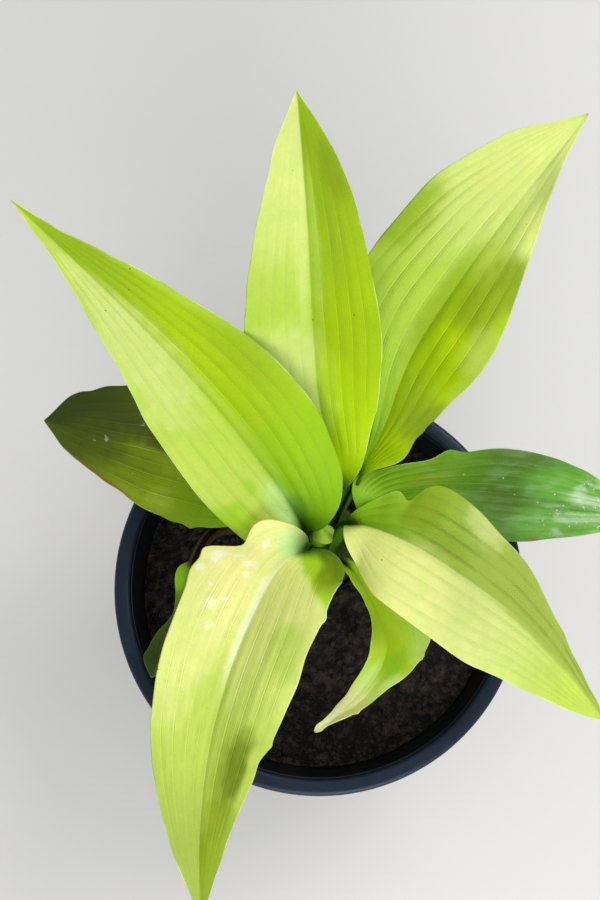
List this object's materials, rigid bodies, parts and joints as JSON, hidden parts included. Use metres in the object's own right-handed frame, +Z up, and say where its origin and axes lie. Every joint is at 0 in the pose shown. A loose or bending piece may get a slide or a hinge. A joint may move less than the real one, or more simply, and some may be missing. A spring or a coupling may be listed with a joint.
{
  "type": "potted hosta plant",
  "caption": "Young hosta with broad pointed yellow-green leaves on folded stalks, growing from a crown in soil in a round tapered black nursery pot.",
  "frame": {"origin": "centre of the pot's flat underside", "axes": "+Z up along the pot's axis; +X to the right and +Y away from someone who looks down from the front, where the long front leaf hangs over the rim"},
  "size_m": [0.258, 0.3, 0.247],
  "materials": {
    "pot": "satin",
    "soil": "matte",
    "crown": "matte",
    "leaf": "satin",
    "olive_leaf": "satin",
    "green_leaf": "satin",
    "young_leaf": "satin"
  },
  "bodies": {
    "root": {"pot": "pot", "soil": "soil", "crown": "crown", "young_leaf": "young_leaf", "leaf_upper_left": "leaf", "leaf_top": "leaf", "leaf_upper_right": "leaf", "leaf_low_left": "olive_leaf", "leaf_right": "green_leaf", "leaf_lower_right": "leaf", "leaf_front": "leaf", "leaf_small_front": "leaf", "leaf_small_left": "olive_leaf"}
  },
  "joints": []
}
